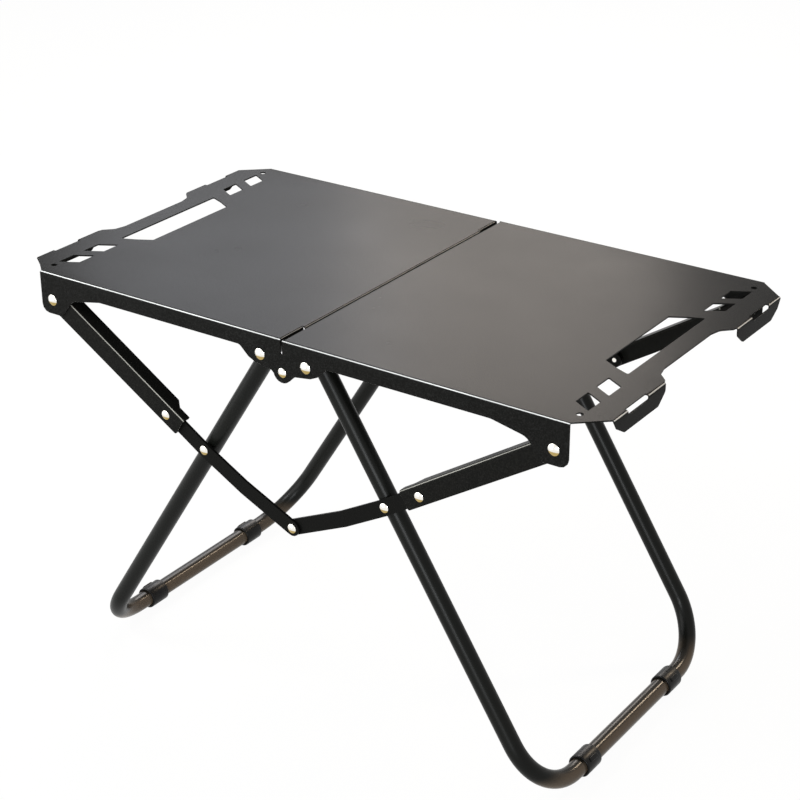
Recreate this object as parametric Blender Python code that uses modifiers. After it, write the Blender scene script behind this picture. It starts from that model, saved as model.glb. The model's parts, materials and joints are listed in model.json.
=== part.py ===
"""Folding camping table with a two-panel steel top, two U-shaped tube legs and flat fold links.

The table stands along X, is deep along Y and rests on the ground at Z = 0.
Each half folds about the centre hinge rivets. A sheet-steel brace and a dog-leg link on
each long side swing the leg flat against its own top panel while the halves close.
"""
import math

import bmesh
import bpy
from mathutils import Matrix, Vector

MM = 0.001

# Overall sizes of the standing table
TOP_HEIGHT = 450.0 * MM
HALF_LENGTH = 350.0 * MM
HALF_DEPTH = 196.6 * MM

# Running gap between pieces that touch, and the sheet and bar thicknesses
GAP = 0.3 * MM
PANEL_SHEET = 1.5 * MM
BRACE_SHEET = 2.0 * MM
LINK_BAR = 3.0 * MM
PANEL_BEND = 2.2 * MM
BRACE_BEND = 2.8 * MM
BEND_STEPS = 4

# Points nearer than this are one point, and flatter edges than this are shaded smooth
WELD = 0.01 * MM
SHARP_ANGLE = math.radians(35)

# Top panel: centre edge, the left panel's lipped notches at its ends, corners and end tabs
CENTRE_EDGE = 0.6 * MM
NOTCH_DEPTH = 2.6 * MM
NOTCH_LENGTH = 38.0 * MM
NOTCH_LIP = 7.0 * MM
FOLD_RELIEF = 0.8 * MM
CENTRE_FLANGE = 14.0 * MM
FLANGE_TAPER = 12.0 * MM
CORNER_CUT = 29.0 * MM
TAB_INNER = 75.0 * MM

# End tab's lower edge, as (y, depth below the top, corner radius) in mm, and its fold slot
TAB_CURVE = ((75.0, 9.0, 5.0), (88.0, 19.5, 4.0), (152.0, 19.5, 4.0), (166.0, 11.0, 3.0))
FOLD_SLOT = (107.0 * MM, 146.0 * MM)
FOLD_SLOT_DEPTH = 4.5 * MM
FOLD_SLOT_FILLET = 0.8 * MM

# Shallow recess between the end tabs, as (x, y, corner radius) in mm from the tab inwards
RECESS_CURVE = ((347.0, 71.0, 0.0), (337.0, 61.0, 8.0), (334.0, 48.0, 8.0))

# Handle slot and tool holes in the panel, as distances from the centre line and from the middle
HANDLE_INNER = 280.0 * MM
HANDLE_OUTER = 312.5 * MM
HANDLE_HALF_INNER = 63.0 * MM
HANDLE_HALF_OUTER = 79.0 * MM
HANDLE_NECK = (296.0 * MM, 72.0 * MM)
HANDLE_FILLET = 1.5 * MM
HANDLE_NECK_FILLET = 6.0 * MM
TOOL_HOLE_X = (301.3 * MM, 320.7 * MM)
TOOL_HOLE_STARTS = (95.0 * MM, 133.0 * MM)
TOOL_HOLE_LENGTH = 23.2 * MM
TOOL_HOLE_SKEW = 11.3 * MM
TOOL_HOLE_FILLET = 0.8 * MM
DRAIN_HOLE = (318.0 * MM, 177.0 * MM)
DRAIN_HOLE_RADIUS = 3.5 * MM

# Skirt below the panel's long edges: its lobe round the centre hinge, then its lower edge as
# (x, depth below the top, corner radius) in mm, past the leg hinge and down round the ear
SKIRT_END = 320.0 * MM
HINGE_LOBE = 11.0 * MM
HINGE_LOBE_TOP = 15.0 * MM
SKIRT_CURVE = ((15.0, 35.2, 4.0), (34.0, 32.4, 8.0), (43.0, 28.2, 6.0), (54.0, 17.8, 6.0),
               (238.0, 17.8, 25.0), (276.0, 25.5, 14.0), (293.0, 46.0, 3.0), (320.0, 46.0, 9.0))

# Pivots in the right half, as (x, z below the top surface)
CENTRE_HINGE = (0.0, -34.3 * MM)
LEG_HINGE = (28.5 * MM, -22.0 * MM)
BRACE_HINGE = (304.7 * MM, -30.2 * MM)
FOOT_AXIS = (290.9 * MM, -437.5 * MM)
LINK_JOINT = (0.0, -210.43 * MM)
LINK_KNEE = (61.5 * MM, -182.0 * MM)
CROSSING_REACH = 156.0 * MM

# Leg tube, its end plugs and its foot clips
TUBE_RADIUS = 9.5 * MM
TUBE_WALL = 1.2 * MM
TUBE_OVERRUN = 12.0 * MM
TUBE_BEND = 65.0 * MM
TUBE_BEND_STEPS = 6
TUBE_SIDES_LEVEL = 6
PLUG_FLANGE = 2.0 * MM
PLUG_STEM = 8.0 * MM
PLUG_CHAMFER = 1.0 * MM
PLUG_TAPER = 0.5 * MM
CLIP_RADIUS = 12.5 * MM
CLIP_LENGTH = 26.0 * MM
CLIP_OFFSET = 88.0 * MM
CLIP_SLIT = 1.2 * MM
CLIP_SPLIT = math.radians(295.0)
CLIP_LOW = math.radians(270.0)
CLIP_BOSS_ANGLE = math.radians(40.0)
CLIP_BOSS_SIZE = (5.0 * MM, 1.0 * MM)

# Brace: an L-section from its hinge to past the link pivot, flange on the upper edge
BRACE_NOSE = 10.8 * MM
BRACE_LOWER = 9.2 * MM
BRACE_UPPER = 12.2 * MM
BRACE_END = 195.0 * MM
FLANGE_START = 14.0 * MM
FLANGE_WIDTH = 17.0 * MM
FLANGE_SLOPE = 8.0 * MM
FLANGE_NARROW = 172.0 * MM
BRACE_FILLETS = (1.0 * MM, 2.0 * MM, 4.0 * MM)
LINK_HALF_WIDTH = 8.5 * MM

# Rivets: head radius and height, rim's share of the height, shank radius, tail radius and height
SHANK_RADIUS = 2.5 * MM
BORE = SHANK_RADIUS + GAP
BIG_HEAD = 6.0 * MM
BIG_HEAD_HEIGHT = 2.2 * MM
SMALL_HEAD = 5.0 * MM
LOW_HEAD_HEIGHT = 1.5 * MM
HEAD_RIM = 0.3
TAIL_RADIUS = 4.0 * MM
TAIL_HEIGHT = 1.0 * MM
TAIL_CHAMFER = 0.5 * MM
WASHER_RADIUS = 7.0 * MM
LINK_WASHER_RADIUS = 6.0 * MM
WASHER_CHAMFER = 0.3 * MM
SADDLE_GRIP = 3.0 * MM
DOME_STEPS = 2
TURN_STEPS = 12

# Depths of the layers, measured inwards from the left panel's outer skirt face
SKIRT_LAP = PANEL_SHEET + GAP
BRACE_FACE = PANEL_SHEET + GAP
BRACE_BACK = BRACE_FACE + BRACE_SHEET
LINK_FACE = {"left": BRACE_BACK + LOW_HEAD_HEIGHT + 2 * GAP,
             "right": BRACE_BACK + LOW_HEAD_HEIGHT + LINK_BAR + 3 * GAP}
TUBE_FACE = LINK_FACE["right"] + LINK_BAR + GAP
TUBE_DEPTH = TUBE_FACE + TUBE_RADIUS
SKIRT_FACE = {"left": 0.0, "right": -SKIRT_LAP}
FLANGE_NARROW_WIDTH = TUBE_FACE - GAP - BRACE_FACE

SIDES = {"left": -1.0, "right": 1.0}
ENDS = {"front": -1.0, "back": 1.0}
OTHER_END = {"front": "back", "back": "front"}
UP = Vector((0.0, 0.0, 1.0))


def straight_fold_links():
    """Brace-to-link pivot Q and crossing pivot P, so that the links fold into one line."""
    hinge = Vector(LEG_HINGE)
    brace = Vector(BRACE_HINGE)
    crossing = hinge + (Vector(FOOT_AXIS) - hinge).normalized() * CROSSING_REACH
    span = (brace - hinge).length
    reach = (crossing - brace).length
    brace_length = (reach + span - CROSSING_REACH) / 2
    link_pivot = brace + (crossing - brace).normalized() * brace_length
    return link_pivot, crossing


LINK_PIVOT, CROSSING = straight_fold_links()


def place(side, end, x, depth, z):
    """World point from a half's own x, its depth inside the skirt face and its drop."""
    return Vector((SIDES[side] * x, ENDS[end] * (HALF_DEPTH - depth), TOP_HEIGHT + z))


def below_top(curve):
    """Corners (u, depth, radius) in mm as outline corners in metres below the top."""
    return [(u * MM, -depth * MM, radius * MM) for u, depth, radius in curve]


def rounded(corners, steps=3):
    """Closed outline from corners (u, v, radius), each radius drawn as an arc."""
    points = []
    count = len(corners)
    for index, (u, v, radius) in enumerate(corners):
        corner = Vector((u, v))
        if radius == 0:
            points.append((u, v))
            continue
        back = (Vector(corners[index - 1][:2]) - corner).normalized()
        ahead = (Vector(corners[(index + 1) % count][:2]) - corner).normalized()
        half = back.angle(ahead) / 2
        centre = corner + (back + ahead).normalized() * (radius / math.sin(half))
        first = corner + back * (radius / math.tan(half)) - centre
        last = corner + ahead * (radius / math.tan(half)) - centre
        start = math.atan2(first.y, first.x)
        turn = math.atan2(first.x * last.y - first.y * last.x, first.dot(last))
        points += arc(centre, radius, start, start + turn, steps)
    return points


def arc(centre, radius, start, stop, steps):
    """Points of an arc from one angle to another, both ends included."""
    angles = [start + (stop - start) * step / steps for step in range(steps + 1)]
    return [(centre[0] + radius * math.cos(a), centre[1] + radius * math.sin(a)) for a in angles]


def circle(centre, radius, sides=12):
    """Points of a closed circle."""
    return arc(centre, radius, 0.0, math.tau * (1 - 1 / sides), sides - 1)


def flat_curve(name, outlines, thickness):
    """2D curve object filled between its outlines, with the given thickness."""
    curve = bpy.data.curves.new(name, "CURVE")
    curve.dimensions = "2D"
    curve.fill_mode = "BOTH"
    curve.extrude = thickness / 2
    for outline in outlines:
        spline = curve.splines.new("POLY")
        spline.points.add(len(outline) - 1)
        for point, (u, v) in zip(spline.points, outline):
            point.co = (u, v, 0.0, 1.0)
        spline.use_cyclic_u = True
    return bpy.data.objects.new(name, curve)


def mesh_of(curve_object):
    """Mesh of a curve object, its loose caps welded. The curve object is removed."""
    bpy.context.scene.collection.objects.link(curve_object)
    depsgraph = bpy.context.evaluated_depsgraph_get()
    mesh = bpy.data.meshes.new_from_object(curve_object.evaluated_get(depsgraph))
    mesh.transform(curve_object.matrix_world)
    bpy.data.objects.remove(curve_object)
    body = bmesh.new()
    body.from_mesh(mesh)
    bmesh.ops.remove_doubles(body, verts=body.verts, dist=WELD)
    body.to_mesh(mesh)
    body.free()
    return mesh


def plane_matrix(origin, u_axis, v_axis):
    """Matrix that carries a flat outline's (u, v) to the plane of two axes."""
    u_axis = Vector(u_axis)
    v_axis = Vector(v_axis)
    matrix = Matrix((u_axis, v_axis, u_axis.cross(v_axis))).transposed().to_4x4()
    matrix.translation = Vector(origin)
    return matrix


def plate_mesh(name, outlines, thickness, matrix):
    """Closed plate cut from flat stock, centred on its plane."""
    mesh = mesh_of(flat_curve(name, outlines, thickness))
    mesh.transform(matrix)
    body = bmesh.new()
    body.from_mesh(mesh)
    bmesh.ops.recalc_face_normals(body, faces=body.faces)
    body.to_mesh(mesh)
    body.free()
    return mesh


def add_flat(body, outlines, matrix):
    """Add a flat part of a bent sheet's outer surface."""
    mesh = mesh_of(flat_curve("flat", outlines, 0.0))
    mesh.transform(matrix)
    body.from_mesh(mesh)
    bpy.data.meshes.remove(mesh)


def add_bend(body, start, stop, normal, outward, radius):
    """Add a quarter-round bend from an edge of a flat, towards its outward side."""
    verts = [body.verts.new(start), body.verts.new(stop)]
    edge = body.edges.new(verts)
    bmesh.ops.spin(body, geom=verts + [edge], cent=start - normal * radius,
                   axis=normal.cross(outward), angle=math.pi / 2, steps=BEND_STEPS)


def bent_sheet(name, body, thickness, top_normal, mirrored=False):
    """Object of a bent sheet: weld the flats to the bends and thicken them to the inside.

    A mirrored sheet is a back half, open at the middle plane, which gets its front half here.
    """
    bmesh.ops.remove_doubles(body, verts=body.verts, dist=2 * WELD)
    bmesh.ops.recalc_face_normals(body, faces=body.faces)
    facing = sum(face.calc_area() * face.normal.dot(top_normal) for face in body.faces)
    if facing < 0:
        bmesh.ops.reverse_faces(body, faces=body.faces)
    mesh = bpy.data.meshes.new(name)
    body.to_mesh(mesh)
    body.free()
    sheet = bpy.data.objects.new(name, mesh)
    if mirrored:
        front = sheet.modifiers.new("front_half", "MIRROR")
        front.use_axis = (False, True, False)
        front.use_clip = True
        front.merge_threshold = WELD
    solid = sheet.modifiers.new("thickness", "SOLIDIFY")
    solid.thickness = thickness
    solid.offset = -1.0
    solid.use_even_offset = True
    return sheet


def finish(piece, body_name, material, bodies):
    """Put a piece in its collection, where it stands on its body's empty, with its material."""
    pivot = bodies[body_name]
    piece.parent = pivot
    piece.matrix_parent_inverse = Matrix.Translation(-pivot.location)
    piece.data.materials.append(material)
    piece.data.shade_smooth()
    piece.data.set_sharp_from_angle(angle=SHARP_ANGLE)
    bpy.data.collections["camping_table"].objects.link(piece)
    return piece


def make_material(name, colour, roughness, metallic):
    """Principled material."""
    material = bpy.data.materials.new(name)
    material.use_nodes = True
    shader = material.node_tree.nodes["Principled BSDF"]
    shader.inputs["Base Color"].default_value = (*colour, 1.0)
    shader.inputs["Roughness"].default_value = roughness
    shader.inputs["Metallic"].default_value = metallic
    return material


def tab_outer(half_depth):
    """Outer end of an end tab's fold, where the cut corner meets it."""
    return half_depth - CORNER_CUT + PANEL_BEND


def centre_folds(side, half_depth):
    """Folds along the centre edge of a panel's back half, as (x, first y, last y, flange drop)."""
    corner = half_depth - PANEL_BEND - FOLD_RELIEF
    if side == "right":
        return [(CENTRE_EDGE, 0.0, corner, CENTRE_FLANGE)]
    notch = half_depth - NOTCH_LENGTH
    return [(CENTRE_EDGE, 0.0, notch, CENTRE_FLANGE),
            (CENTRE_EDGE + NOTCH_DEPTH, notch + FOLD_RELIEF, corner, NOTCH_LIP)]


def top_outline(side, half_depth):
    """Edge of the flat top's back half and of its half of the handle slot, as (x, y)."""
    fold_y = half_depth - PANEL_BEND
    fold_x = HALF_LENGTH - PANEL_BEND
    slot_x = HALF_LENGTH - FOLD_SLOT_DEPTH
    folds = centre_folds(side, half_depth)
    corners = []
    for x, first, last, _ in folds:
        corners += [(x + PANEL_BEND, first, 0), (x + PANEL_BEND, last, 0)]
    corners += [(folds[-1][0], fold_y, 0), (SKIRT_END, fold_y, 0),
                (fold_x, tab_outer(half_depth), 0), (fold_x, FOLD_SLOT[1], 0),
                (slot_x, FOLD_SLOT[1], FOLD_SLOT_FILLET), (slot_x, FOLD_SLOT[0], FOLD_SLOT_FILLET),
                (fold_x, FOLD_SLOT[0], 0), (fold_x, TAB_INNER, 0)]
    corners += [(x * MM, y * MM, radius * MM) for x, y, radius in RECESS_CURVE]
    corners += [(RECESS_CURVE[-1][0] * MM, 0.0, 0), (HANDLE_OUTER, 0.0, 0),
                (HANDLE_OUTER, HANDLE_HALF_OUTER, HANDLE_FILLET),
                (*HANDLE_NECK, HANDLE_NECK_FILLET),
                (HANDLE_INNER, HANDLE_HALF_INNER, HANDLE_FILLET), (HANDLE_INNER, 0.0, 0)]
    return rounded(corners)


def top_holes():
    """Tool holes and drain hole of a top panel's back half, as (x, y) outlines."""
    holes = [circle(DRAIN_HOLE, DRAIN_HOLE_RADIUS)]
    inner, outer = TOOL_HOLE_X
    for start in TOOL_HOLE_STARTS:
        stop = start + TOOL_HOLE_LENGTH
        corners = [(inner, start), (inner, stop), (outer, stop + TOOL_HOLE_SKEW),
                   (outer, start + TOOL_HOLE_SKEW)]
        holes.append(rounded([(x, y, TOOL_HOLE_FILLET) for x, y in corners], steps=2))
    return holes


def skirt_outline(seam_x):
    """Skirt from its centre edge, with its hinge lobe and its ear, as (x, z below the top)."""
    lobe = arc(CENTRE_HINGE, HINGE_LOBE, math.radians(150), math.radians(318), 9)
    outline = [(seam_x, -PANEL_BEND), (seam_x, -HINGE_LOBE_TOP)] + lobe
    path = [(*lobe[-1], 0)] + below_top(SKIRT_CURVE) + [(SKIRT_END, -PANEL_BEND, 0)]
    return outline + rounded(path)[1:]


def skirt_holes():
    """Rivet bores of a skirt."""
    return [circle(pivot, BORE) for pivot in (CENTRE_HINGE, LEG_HINGE, BRACE_HINGE)]


def tab_outline(half_depth):
    """End tab below the fold, as (y, z), with the fold slot's lower half."""
    corners = [(TAB_INNER, -PANEL_BEND, 0)] + below_top(TAB_CURVE)
    corners += [(tab_outer(half_depth), -PANEL_BEND, 0), (FOLD_SLOT[1], -PANEL_BEND, 0),
                (FOLD_SLOT[1], -FOLD_SLOT_DEPTH, FOLD_SLOT_FILLET),
                (FOLD_SLOT[0], -FOLD_SLOT_DEPTH, FOLD_SLOT_FILLET), (FOLD_SLOT[0], -PANEL_BEND, 0)]
    return rounded(corners)


def panel(side, bodies, material):
    """One half of the top: a steel sheet with two skirts, two end tabs and a centre flange.

    The back half is folded up from its flats and bends, and mirrored to the front.
    """
    across = Vector((SIDES[side], 0.0, 0.0))
    back = Vector((0.0, 1.0, 0.0))
    top = Vector((0.0, 0.0, TOP_HEIGHT))
    half_depth = HALF_DEPTH - SKIRT_FACE[side]
    folds = centre_folds(side, half_depth)
    seam_x = folds[-1][0]
    body = bmesh.new()
    add_flat(body, [top_outline(side, half_depth)] + top_holes(), plane_matrix(top, across, back))
    for x, first, last, drop in folds:
        edge = top + across * (x + PANEL_BEND)
        add_bend(body, edge + back * first, edge + back * last, UP, -across, PANEL_BEND)
        taper = FLANGE_TAPER if drop == CENTRE_FLANGE else 0.0
        flange = [(first, -PANEL_BEND), (first, -drop), (last - taper, -drop), (last, -PANEL_BEND)]
        add_flat(body, [flange], plane_matrix(top + across * x, back, UP))
    fold = top + back * (half_depth - PANEL_BEND)
    add_bend(body, fold + across * seam_x, fold + across * SKIRT_END, UP, back, PANEL_BEND)
    skirt_plane = plane_matrix(top + back * half_depth, across, UP)
    add_flat(body, [skirt_outline(seam_x)] + skirt_holes(), skirt_plane)
    fold = top + across * (HALF_LENGTH - PANEL_BEND)
    for first, last in ((TAB_INNER, FOLD_SLOT[0]), (FOLD_SLOT[1], tab_outer(half_depth))):
        add_bend(body, fold + back * first, fold + back * last, UP, across, PANEL_BEND)
    add_flat(body, [tab_outline(half_depth)], plane_matrix(top + across * HALF_LENGTH, back, UP))
    sheet = bent_sheet("panel_" + side, body, PANEL_SHEET, UP, mirrored=True)
    return finish(sheet, "panel_" + side, material, bodies)


def brace(side, end, bodies, material):
    """L-section brace from its hinge in the skirt's ear to past the link pivot."""
    origin = place(side, end, BRACE_HINGE[0], BRACE_FACE, BRACE_HINGE[1])
    toward = place(side, end, LINK_PIVOT[0], BRACE_FACE, LINK_PIVOT[1]) - origin
    brace_length = toward.length
    along = toward.normalized()
    outward = Vector((0.0, ENDS[end], 0.0))
    upper = along.cross(outward)
    if upper.z < 0:
        upper = -upper
    fold = BRACE_UPPER - BRACE_BEND
    nose = arc((0.0, 0.0), BRACE_NOSE, math.radians(90), math.radians(270), 8)
    small, middling, large = BRACE_FILLETS
    plate = nose + rounded([(0.0, -BRACE_NOSE, 0), (BRACE_END, -BRACE_LOWER, middling),
                            (BRACE_END, fold, 0), (FLANGE_START, fold, 0),
                            (0.0, BRACE_NOSE, 0)])[1:-1]
    bores = [circle((0.0, 0.0), BORE), circle((brace_length, 0.0), BORE)]
    body = bmesh.new()
    add_flat(body, [plate] + bores, plane_matrix(origin, along, upper))
    add_bend(body, origin + along * FLANGE_START + upper * fold,
             origin + along * BRACE_END + upper * fold, outward, upper, BRACE_BEND)
    flange = rounded([(FLANGE_START, BRACE_BEND, 0), (BRACE_END, BRACE_BEND, 0),
                      (BRACE_END, FLANGE_NARROW_WIDTH, small),
                      (FLANGE_NARROW + FLANGE_SLOPE, FLANGE_NARROW_WIDTH, 0),
                      (FLANGE_NARROW, FLANGE_WIDTH, middling),
                      (FLANGE_START + FLANGE_SLOPE, FLANGE_WIDTH, large)])
    add_flat(body, [flange], plane_matrix(origin + upper * BRACE_UPPER, along, -outward))
    sheet = bent_sheet(f"brace_{side}_{end}", body, BRACE_SHEET, outward)
    return finish(sheet, "brace_" + side, material, bodies)


def offset_path(points, width):
    """Both edges of a bar along a path, as one closed outline with round ends."""
    left_edge, right_edge = [], []
    count = len(points)
    for index, point in enumerate(points):
        before = (point - points[index - 1]).normalized() if index else None
        after = (points[index + 1] - point).normalized() if index < count - 1 else None
        along = ((before or after) + (after or before)).normalized()
        stretch = width / along.dot(after or before)
        normal = Vector((-along.y, along.x)) * stretch
        left_edge.append(point + normal)
        right_edge.append(point - normal)
    outline = [tuple(point) for point in left_edge[1:-1]]
    for tip, neighbour in ((points[-1], points[-2]), (points[0], points[1])):
        heading = tip - neighbour
        facing = math.atan2(heading.y, heading.x)
        outline += arc(tip, width, facing + math.pi / 2, facing - math.pi / 2, 8)
        if tip == points[-1]:
            outline += [tuple(point) for point in reversed(right_edge[1:-1])]
    return outline


def link(side, end, bodies, material):
    """Dog-leg bar from the brace pivot, past the leg, to the middle joint."""
    path = [LINK_PIVOT, CROSSING, Vector(LINK_KNEE), Vector(LINK_JOINT)]
    bores = [circle(pivot, BORE) for pivot in (LINK_PIVOT, CROSSING, LINK_JOINT)]
    middle = place(side, end, 0.0, LINK_FACE[side] + LINK_BAR / 2, 0.0)
    matrix = plane_matrix(middle, (SIDES[side], 0.0, 0.0), UP)
    mesh = plate_mesh("link", [offset_path(path, LINK_HALF_WIDTH)] + bores, LINK_BAR, matrix)
    bar = bpy.data.objects.new(f"link_{side}_{end}", mesh)
    return finish(bar, "link_" + side, material, bodies)


def leg_line(side, end, along, depth):
    """Point on or beside the leg's axis, at a distance along it from the leg hinge."""
    down = (Vector(FOOT_AXIS) - Vector(LEG_HINGE)).normalized()
    spot = Vector(LEG_HINGE) + down * along
    return place(side, end, spot.x, depth, spot.y)


def cutter(name, start, stop, radius, sides=16):
    """Round cutter between two points, kept out of the build."""
    body = bmesh.new()
    bmesh.ops.create_cone(body, cap_ends=True, segments=sides, radius1=radius, radius2=radius,
                          depth=(stop - start).length)
    turn = UP.rotation_difference(stop - start).to_matrix().to_4x4()
    bmesh.ops.transform(body, matrix=Matrix.Translation((start + stop) / 2) @ turn, verts=body.verts)
    mesh = bpy.data.meshes.new(name)
    body.to_mesh(mesh)
    body.free()
    tool = bpy.data.objects.new(name, mesh)
    tool.hide_render = True
    tool.display_type = "WIRE"
    bpy.data.collections["cutters"].objects.link(tool)
    return tool


def cut(piece, tool):
    """Take a cutter out of a piece."""
    boolean = piece.modifiers.new("cut", "BOOLEAN")
    boolean.operation = "DIFFERENCE"
    boolean.object = tool


def leg(side, bodies, material):
    """U-shaped tube leg: two side tubes hinged at the top, one bar on the ground."""
    length = (Vector(FOOT_AXIS) - Vector(LEG_HINGE)).length
    spread = HALF_DEPTH - TUBE_DEPTH
    corners = [(-TUBE_OVERRUN, -spread, 0), (length, -spread, TUBE_BEND),
               (length, spread, TUBE_BEND), (-TUBE_OVERRUN, spread, 0)]
    path = rounded(corners, TUBE_BEND_STEPS)
    curve = bpy.data.curves.new("leg", "CURVE")
    curve.dimensions = "3D"
    curve.bevel_depth = TUBE_RADIUS
    curve.bevel_resolution = TUBE_SIDES_LEVEL
    spline = curve.splines.new("POLY")
    spline.points.add(len(path) - 1)
    top = leg_line(side, "front", 0.0, HALF_DEPTH)
    down = (leg_line(side, "front", length, HALF_DEPTH) - top).normalized()
    for point, (along, across) in zip(spline.points, path):
        point.co = (*(top + down * along + Vector((0.0, across, 0.0))), 1.0)
    mesh = mesh_of(bpy.data.objects.new("leg", curve))
    tube = bpy.data.objects.new("leg_" + side, mesh)
    wall = tube.modifiers.new("wall", "SOLIDIFY")
    wall.thickness = TUBE_WALL
    wall.offset = -1.0
    for end in ENDS:
        bore_out = leg_line(side, end, 0.0, 0.0)
        bore_in = leg_line(side, end, 0.0, 2 * TUBE_DEPTH)
        cut(tube, cutter("leg_bore", bore_out, bore_in, BORE, 12))
        tail_out = leg_line(side, end, CROSSING_REACH, TUBE_DEPTH)
        tail_in = leg_line(side, end, CROSSING_REACH, 2 * TUBE_DEPTH)
        cut(tube, cutter("tail_bore", tail_out, tail_in, BORE, 12))
    return finish(tube, "leg_" + side, material, bodies)


def turned(name, profile, origin, axis):
    """Turned piece: a profile (radius, height), top to bottom, screwed round an axis."""
    mesh = bpy.data.meshes.new(name)
    edges = [(index, index + 1) for index in range(len(profile) - 1)]
    if profile[0][0] > 0:
        edges.append((len(profile) - 1, 0))
    mesh.from_pydata([(radius, 0.0, height) for radius, height in profile], edges, [])
    piece = bpy.data.objects.new(name, mesh)
    piece.location = origin
    piece.rotation_mode = "QUATERNION"
    piece.rotation_quaternion = UP.rotation_difference(axis)
    screw = piece.modifiers.new("turn", "SCREW")
    screw.steps = TURN_STEPS
    screw.render_steps = TURN_STEPS
    screw.use_merge_vertices = True
    screw.merge_threshold = WELD
    return piece


def rivet(name, side, end, pivot, face, grip, head, head_height, with_tail, body_name,
          bodies, material):
    """Domed rivet: its head stands on the face at a depth, its shank goes in by the grip."""
    outward = Vector((0.0, ENDS[end], 0.0))
    origin = place(side, end, pivot[0], face, pivot[1])
    angles = [math.pi / 2 * (1 - step / DOME_STEPS) for step in range(DOME_STEPS + 1)]
    dome = [(head * math.cos(a), GAP + head_height * (HEAD_RIM + (1 - HEAD_RIM) * math.sin(a)))
            for a in angles]
    profile = [(0.0, dome[0][1])] + dome[1:] + [(head, GAP), (SHANK_RADIUS, GAP)]
    if with_tail:
        profile += [(SHANK_RADIUS, -grip - GAP), (TAIL_RADIUS, -grip - GAP),
                    (TAIL_RADIUS - TAIL_CHAMFER, -grip - GAP - TAIL_HEIGHT),
                    (0.0, -grip - GAP - TAIL_HEIGHT)]
    else:
        profile += [(SHANK_RADIUS, -grip), (0.0, -grip)]
    piece = turned(name, profile, origin, outward)
    return finish(piece, body_name, material, bodies)


def ring(name, side, end, pivot, outer_face, inner_face, radius, body_name, bodies, material):
    """Washer or spacer sleeve between two depths."""
    outward = Vector((0.0, ENDS[end], 0.0))
    origin = place(side, end, pivot[0], inner_face, pivot[1])
    height = inner_face - outer_face
    edge = WASHER_CHAMFER
    profile = [(BORE, height), (radius - edge, height), (radius, height - edge), (radius, edge),
               (radius - edge, 0.0), (BORE, 0.0)]
    piece = turned(name, profile, origin, outward)
    return finish(piece, body_name, material, bodies)


def leg_spacer(side, end, bodies, material):
    """Spacer between skirt and leg tube, saddled to the tube."""
    name = f"leg_spacer_{side}_{end}"
    face = SKIRT_FACE[side] + SKIRT_LAP
    piece = ring(name, side, end, LEG_HINGE, face, TUBE_FACE + SADDLE_GRIP, WASHER_RADIUS,
                 "leg_" + side, bodies, material)
    above = leg_line(side, end, -3 * TUBE_OVERRUN, TUBE_DEPTH)
    below = leg_line(side, end, 3 * TUBE_OVERRUN, TUBE_DEPTH)
    cut(piece, cutter("tube_saddle", above, below, TUBE_RADIUS + GAP, 24))
    return piece


def tube_plug(side, end, bodies, material):
    """Push-in plug that closes the leg tube's upper end."""
    origin = leg_line(side, end, -TUBE_OVERRUN - GAP, TUBE_DEPTH)
    outward = (origin - leg_line(side, end, 0.0, TUBE_DEPTH)).normalized()
    stem = TUBE_RADIUS - TUBE_WALL - GAP
    profile = [(0.0, PLUG_FLANGE), (TUBE_RADIUS - PLUG_CHAMFER, PLUG_FLANGE),
               (TUBE_RADIUS, PLUG_FLANGE - PLUG_CHAMFER), (TUBE_RADIUS, 0.0), (stem, 0.0),
               (stem - PLUG_TAPER, -PLUG_STEM), (0.0, -PLUG_STEM)]
    piece = turned(f"tube_plug_{side}_{end}", profile, origin, outward)
    return finish(piece, "leg_" + side, material, bodies)


def foot_clip(side, end, bodies, material):
    """Snap-on plastic foot round the ground bar, split underneath, with a small raised rib."""
    inner = TUBE_RADIUS + GAP
    half_slit = CLIP_SLIT / 2 / CLIP_RADIUS
    start = CLIP_SPLIT - math.tau + half_slit
    stop = CLIP_SPLIT - half_slit
    half_rib = CLIP_BOSS_SIZE[0] / 2 / CLIP_RADIUS
    rib_radius = CLIP_RADIUS + CLIP_BOSS_SIZE[1]
    outline = arc((0.0, 0.0), CLIP_RADIUS, start, CLIP_BOSS_ANGLE - half_rib, 6)
    outline += arc((0.0, 0.0), rib_radius, CLIP_BOSS_ANGLE - half_rib,
                   CLIP_BOSS_ANGLE + half_rib, 2)
    outline += arc((0.0, 0.0), CLIP_RADIUS, CLIP_BOSS_ANGLE + half_rib, CLIP_LOW, 13)
    outline += arc((0.0, 0.0), CLIP_RADIUS, CLIP_LOW, stop, 2)[1:]
    outline += arc((0.0, 0.0), inner, stop, start, 20)
    centre = place(side, end, FOOT_AXIS[0], HALF_DEPTH - CLIP_OFFSET, FOOT_AXIS[1])
    matrix = plane_matrix(centre, (SIDES[side], 0.0, 0.0), UP)
    mesh = plate_mesh("foot_clip", [outline], CLIP_LENGTH, matrix)
    piece = bpy.data.objects.new(f"foot_clip_{side}_{end}", mesh)
    return finish(piece, "leg_" + side, material, bodies)


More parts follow.
